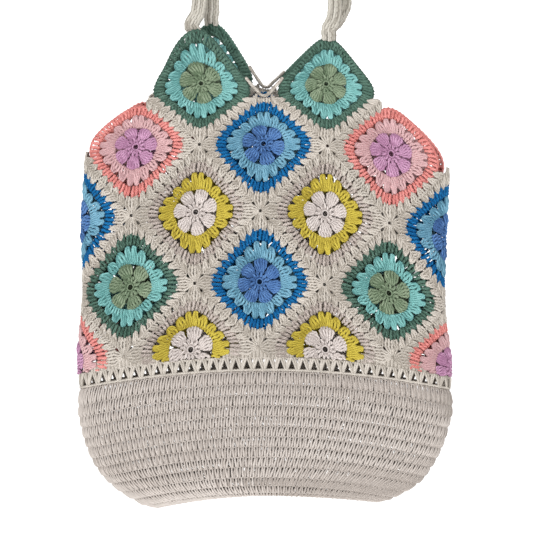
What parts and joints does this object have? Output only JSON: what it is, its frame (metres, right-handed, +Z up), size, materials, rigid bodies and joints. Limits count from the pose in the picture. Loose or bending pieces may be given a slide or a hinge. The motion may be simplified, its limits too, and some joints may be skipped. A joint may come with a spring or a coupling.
{
  "type": "crochet tote bag",
  "caption": "Soft tote bag of joined crochet squares over a solid crochet base, hanging by long crochet handles.",
  "frame": {"origin": "the hang point: the middle of the handles' underside at their top, where they rest on a hook", "axes": "+Z up, the front faces -Y, +X to the right when the front is seen"},
  "size_m": [0.3585, 0.082, 0.7286],
  "materials": {
    "yarn_green": "matt cotton yarn: sage flower, aqua ring, dark green outer round",
    "yarn_blue": "matt cotton yarn: mid blue flower, light blue ring, strong blue outer round",
    "yarn_pink": "matt cotton yarn: lilac flower, dusty pink ring, salmon outer round",
    "yarn_yellow": "matt cotton yarn: off-white flower, mustard ring, beige outer round",
    "yarn_ecru": "matt cotton yarn in off-white"
  },
  "bodies": {
    "root": {"green_square_peak_front_left": "yarn_green", "green_square_peak_front_right": "yarn_green", "green_square_peak_back_right": "yarn_green", "green_square_peak_back_left": "yarn_green", "pink_square_front_left": "yarn_pink", "blue_square_upper_front": "yarn_blue", "pink_square_front_right": "yarn_pink", "pink_square_back_right": "yarn_pink", "blue_square_upper_back": "yarn_blue", "pink_square_back_left": "yarn_pink", "yellow_square_front_left": "yarn_yellow", "yellow_square_front_right": "yarn_yellow", "blue_square_side_right": "yarn_blue", "yellow_square_back_right": "yarn_yellow", "yellow_square_back_left": "yarn_yellow", "blue_square_side_left": "yarn_blue", "green_square_front_left": "yarn_green", "blue_square_lower_front": "yarn_blue", "green_square_front_right": "yarn_green", "green_square_back_right": "yarn_green", "blue_square_lower_back": "yarn_blue", "green_square_back_left": "yarn_green", "yellow_half_front_left": "yarn_yellow", "yellow_half_front_right": "yarn_yellow", "pink_half_side_right": "yarn_pink", "yellow_half_back_right": "yarn_yellow", "yellow_half_back_left": "yarn_yellow", "pink_half_side_left": "yarn_pink", "base": "yarn_ecru", "neck_edging_front": "yarn_ecru", "neck_edging_back": "yarn_ecru", "handle_front": "yarn_ecru", "handle_back": "yarn_ecru"}
  },
  "joints": []
}
